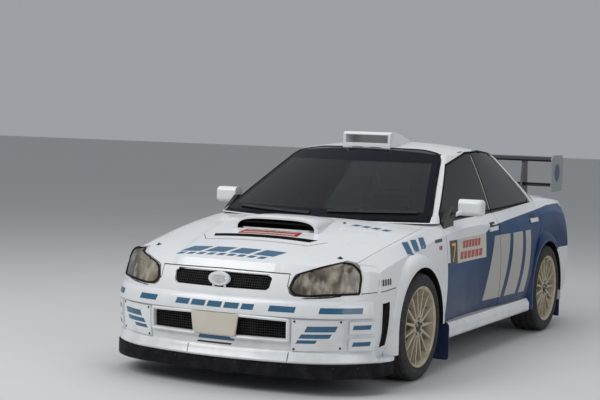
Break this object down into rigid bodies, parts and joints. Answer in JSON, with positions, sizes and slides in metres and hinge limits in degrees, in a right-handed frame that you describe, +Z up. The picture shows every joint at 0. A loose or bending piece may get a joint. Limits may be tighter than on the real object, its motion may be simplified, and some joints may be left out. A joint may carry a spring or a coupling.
{
  "type": "four-door rally saloon car",
  "caption": "Rally saloon with hinged doors, bonnet and boot lid, steered front wheels, roll cage, roof vent, rear wing and front splitter.",
  "frame": {"origin": "on the ground below the middle of the car, at the middle of its length and width", "axes": "+X the car's left, +Y its rear, +Z up"},
  "size_m": [1.932, 4.412, 1.4549],
  "materials": {
    "paint_white": "glossy white paint with blue side graphics",
    "bumper_white": "painted plastic bumper",
    "splitter_black": "scuffed black blade",
    "screen_glass": "clear laminated glass with a dark top band",
    "side_glass": "lightly tinted glass",
    "lamp_lens": "clear moulded lens over a smoked reflector",
    "tail_lens": "red lens",
    "mesh_black": "black mesh",
    "vent_white": "painted moulding",
    "flap_blue": "dark blue flexible flap",
    "trim_black": "satin black trim",
    "cage_paint": "grey painted steel tube",
    "seat_fabric": "dark blue seat cloth over a composite shell",
    "dash_black": "flocked black moulding",
    "pan_paint": "grey primer and sealer",
    "engine_metal": "cast alloy",
    "exhaust_steel": "heat-tinted steel",
    "suspension_black": "black satin steel",
    "wheel_paint": "pale cream enamel on alloy",
    "tyre": "black road rubber",
    "wing_black": "black composite blade, pale end plates"
  },
  "bodies": {
    "body": {"floor_pan": "pan_paint", "side_frames": "pan_paint", "roof_frame": "paint_white", "quarter_panels": "paint_white", "cowl_panel": "trim_black", "front_wings": "paint_white", "front_bumper": "bumper_white", "front_splitter": "splitter_black", "rear_bumper": "bumper_white", "windscreen": "screen_glass", "rear_window": "screen_glass", "headlamps": "lamp_lens", "tail_lamps": "tail_lens", "grille": "mesh_black", "roof_vent": "vent_white", "side_skirts": "bumper_white", "mud_flaps": "flap_blue", "wipers": "trim_black", "roll_cage": "cage_paint", "seats": "seat_fabric", "dashboard": "dash_black", "engine_block": "engine_metal", "exhaust": "exhaust_steel", "front_suspension": "suspension_black", "rear_suspension": "suspension_black"},
    "front_door_left": {"door_front_left": "paint_white", "glass_front_left": "side_glass", "mirror_left": "bumper_white"},
    "rear_door_left": {"door_rear_left": "paint_white", "glass_rear_left": "side_glass"},
    "front_knuckle_left": {"knuckle_left": "suspension_black"},
    "front_wheel_left": {"wheel_front_left": "wheel_paint", "tyre_front_left": "tyre"},
    "rear_wheel_left": {"wheel_rear_left": "wheel_paint", "tyre_rear_left": "tyre"},
    "front_door_right": {"door_front_right": "paint_white", "glass_front_right": "side_glass", "mirror_right": "bumper_white"},
    "rear_door_right": {"door_rear_right": "paint_white", "glass_rear_right": "side_glass"},
    "front_knuckle_right": {"knuckle_right": "suspension_black"},
    "front_wheel_right": {"wheel_front_right": "wheel_paint", "tyre_front_right": "tyre"},
    "rear_wheel_right": {"wheel_rear_right": "wheel_paint", "tyre_rear_right": "tyre"},
    "bonnet_lid": {"bonnet": "paint_white"},
    "boot": {"boot_lid": "paint_white", "rear_wing": "wing_black"},
    "steering": {"steering_wheel": "trim_black"}
  },
  "joints": [
    {"name": "front_door_left_hinge", "type": "hinge", "parent": "body", "child": "front_door_left", "pos_m": [0.822, -0.792, 0.6], "axis": [0, 0, -1], "range_deg": [0, 65]},
    {"name": "rear_door_left_hinge", "type": "hinge", "parent": "body", "child": "rear_door_left", "pos_m": [0.822, 0.212, 0.6], "axis": [0, 0, -1], "range_deg": [0, 68]},
    {"name": "steer_left", "type": "hinge", "parent": "body", "child": "front_knuckle_left", "pos_m": [0.684, -1.2875, 0.19], "axis": [-0.1657, 0, 0.9862], "range_deg": [-28, 28]},
    {"name": "front_wheel_left_spin", "type": "hinge", "parent": "front_knuckle_left", "child": "front_wheel_left", "pos_m": [0.7725, -1.2875, 0.32], "axis": [1, 0, 0], "continuous": true},
    {"name": "rear_wheel_left_spin", "type": "hinge", "parent": "body", "child": "rear_wheel_left", "pos_m": [0.7725, 1.2525, 0.32], "axis": [1, 0, 0], "continuous": true},
    {"name": "front_door_right_hinge", "type": "hinge", "parent": "body", "child": "front_door_right", "pos_m": [-0.822, -0.792, 0.6], "axis": [0, 0, 1], "range_deg": [0, 65]},
    {"name": "rear_door_right_hinge", "type": "hinge", "parent": "body", "child": "rear_door_right", "pos_m": [-0.822, 0.212, 0.6], "axis": [0, 0, 1], "range_deg": [0, 68]},
    {"name": "steer_right", "type": "hinge", "parent": "body", "child": "front_knuckle_right", "pos_m": [-0.684, -1.2875, 0.19], "axis": [0.1657, 0, 0.9862], "range_deg": [-28, 28]},
    {"name": "front_wheel_right_spin", "type": "hinge", "parent": "front_knuckle_right", "child": "front_wheel_right", "pos_m": [-0.7725, -1.2875, 0.32], "axis": [1, 0, 0], "continuous": true},
    {"name": "rear_wheel_right_spin", "type": "hinge", "parent": "body", "child": "rear_wheel_right", "pos_m": [-0.7725, 1.2525, 0.32], "axis": [1, 0, 0], "continuous": true},
    {"name": "bonnet_hinge", "type": "hinge", "parent": "body", "child": "bonnet_lid", "pos_m": [0, -0.88, 0.905], "axis": [-1, 0, 0], "range_deg": [0, 50]},
    {"name": "boot_hinge", "type": "hinge", "parent": "body", "child": "boot", "pos_m": [0, 1.56, 0.98], "axis": [1, 0, 0], "range_deg": [0, 60]},
    {"name": "steering_wheel_turn", "type": "hinge", "parent": "body", "child": "steering", "pos_m": [0.35, -0.3, 0.8], "axis": [0, 0.9207, 0.3903], "range_deg": [-400, 400]}
  ],
  "couplings": [
    {"joint": "steer_right", "follows": "steer_left", "ratio": 1},
    {"joint": "steering_wheel_turn", "follows": "steer_left", "ratio": 13}
  ]
}
